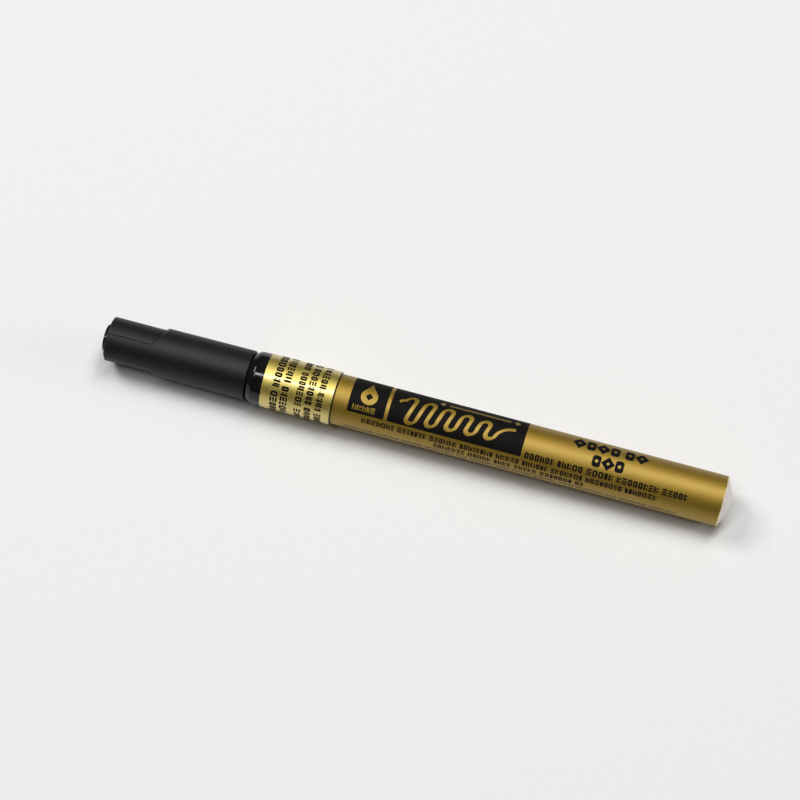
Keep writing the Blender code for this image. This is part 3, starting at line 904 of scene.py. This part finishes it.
def bold_marks(material):
    """Two short rows of heavy ornaments: d is a diamond, b is a block, and a space is a gap."""
    advance = {"d": 1.1, "b": 0.82, " ": 0.35}
    shapes = []
    for start, angle, height, pattern in (
        # station, angle round the pen, height of the marks, their order
        (34.4, 103.0, 2.7, "dbdb bd"),
        (39.2, 68.0, 2.6, "bdb"),
    ):
        x, low = start, arc_at(angle)
        for mark in pattern:
            if mark == "d":
                shapes.append(diamond(x + height / 2, low + height / 2, 0.58 * height))
                shapes.append(diamond(x + height / 2, low + height / 2, 0.14 * height))
            elif mark == "b":
                shapes.append(block(x, x + 0.72 * height, low, low + height))
                shapes.append(diamond(x + 0.36 * height, low + height / 2, 0.17 * height))
            x += advance[mark] * height
    wrapped("bold_print", shapes, BARREL_RADIUS, INK, material)


def fine_line(material):
    """One long row of the smallest print, low on the barrel."""
    shapes = blind_words(-14.0, 59.4, arc_at(-4), 0.85, seed=21, weight=0.25)
    wrapped("fine_print", shapes, BARREL_RADIUS, INK * 0.7, material)


def label_lines(material):
    """Five rows that run round the label, clear of the film's wave."""
    row_length = arc_at(250, LABEL_RADIUS)
    shapes = []
    for station, height, start, seed in (
        # station of its foot, height of the signs, angle at its start, seed
        (-29.2, 1.6, -70, 31),
        (-27.0, 1.6, -64, 32),
        (-23.85, 1.5, -74, 33),
        (-21.65, 1.5, -60, 34),
        (-19.35, 1.5, -66, 35),
    ):
        row = blind_words(0, row_length, 0, height, seed, weight=0.29)
        shapes += placed_round(row, station, arc_at(start, LABEL_RADIUS))
    wrapped("label_print", shapes, LABEL_RADIUS + FILM_WAVE, INK, material)


# ---------------------------------------------------------------- stage


def back_vector(azimuth, elevation):
    """The direction from the target back to a camera. Azimuth 0 looks along +Y."""
    a, e = math.radians(azimuth), math.radians(elevation)
    return Vector((math.sin(a) * math.cos(e), -math.cos(a) * math.cos(e), math.sin(e)))


def camera():
    data = bpy.data.cameras.new("camera")
    data.lens = CAMERA_LENS
    data.sensor_width = CAMERA_SENSOR
    data.clip_start = 0.01
    obj = bpy.data.objects.new("camera", data)
    bpy.context.scene.collection.objects.link(obj)
    back = back_vector(CAMERA_AZIMUTH, CAMERA_ELEVATION)
    obj.location = CAMERA_TARGET + back * CAMERA_DISTANCE
    obj.rotation_euler = back.to_track_quat("Z", "Y").to_euler()
    bpy.context.scene.camera = obj


def floor():
    """Pale board that the pen lies on."""
    bm = bmesh.new()
    bmesh.ops.create_grid(bm, x_segments=1, y_segments=1, size=FLOOR_HALF_SIZE)
    mesh = bpy.data.meshes.new("floor")
    bm.to_mesh(mesh)
    bm.free()
    material = new_material("pale_board", (0.785, 0.778, 0.766), 0.9)
    vary_colour(material, noise(material, 600, 4.0), (0.779, 0.772, 0.76), (0.791, 0.784, 0.772))
    add_bump(material, noise(material, 1800, 3.0), 0.01 * MM)
    mesh.materials.append(material)
    board = bpy.data.objects.new("floor", mesh)
    bpy.context.scene.collection.objects.link(board)


def softbox(name, place, turn, size, power):
    """A softbox that faces the pen, with its long side turned this many degrees from X."""
    data = bpy.data.lights.new(name, "AREA")
    data.shape = "RECTANGLE"
    data.size, data.size_y = size
    data.energy = power
    obj = bpy.data.objects.new(name, data)
    bpy.context.scene.collection.objects.link(obj)
    away = Vector(place).normalized()
    long_side = Vector((math.cos(math.radians(turn)), math.sin(math.radians(turn)), 0))
    long_side = (long_side - away * long_side.dot(away)).normalized()
    short_side = away.cross(long_side)
    obj.rotation_euler = Matrix((long_side, short_side, away)).transposed().to_euler()
    obj.location = place


def lights():
    for name, settings in SOFTBOXES.items():
        softbox(name, *settings)
    world = bpy.data.worlds.new("studio")
    world.use_nodes = True
    background = world.node_tree.nodes["Background"]
    background.inputs["Color"].default_value = (*WORLD_COLOUR, 1.0)
    background.inputs["Strength"].default_value = WORLD_STRENGTH
    bpy.context.scene.world = world
    bpy.context.scene.view_settings.view_transform = "Standard"


# ---------------------------------------------------------------- assembly

camera()
floor()
lights()

ink = black_ink()
natural = moulded_plastic("natural_polymer", (0.70, 0.675, 0.62), (0.78, 0.76, 0.71), 0.4, 0.2)
grey = moulded_plastic("grey_polymer", (0.26, 0.26, 0.265), (0.33, 0.33, 0.335), 0.4)
rubber = soft_rubber()

barrel(gold_lacquer(), bare_aluminium(), painted_highlight_edge())
front_section(gloss_black())
cap_shell(satin_black())
cap_liner(gloss_black())
nib(nib_plastic())
safety_label(foil_film())

panels(ink)
barrel_lines(ink)
bold_marks(ink)
fine_line(fine_ink())
label_lines(ink)

for node, material, slot in (
    ("nib_holder", grey, "grey_plastic"),
    ("spring_retainer", grey, "grey_plastic"),
    ("valve_stem", natural, "natural_plastic"),
    ("valve_body", natural, "natural_plastic"),
    ("neck_bush", natural, "natural_plastic"),
    ("valve_seat", rubber, "black_rubber"),
    ("valve_gasket", rubber, "black_rubber"),
    ("mixing_ball", steel("polished_steel", 0.1), "ball_steel"),
):
    refined(node, material)

valve_spring(steel("spring_wire", 0.28, (0.2, 1.0, 1.0)))
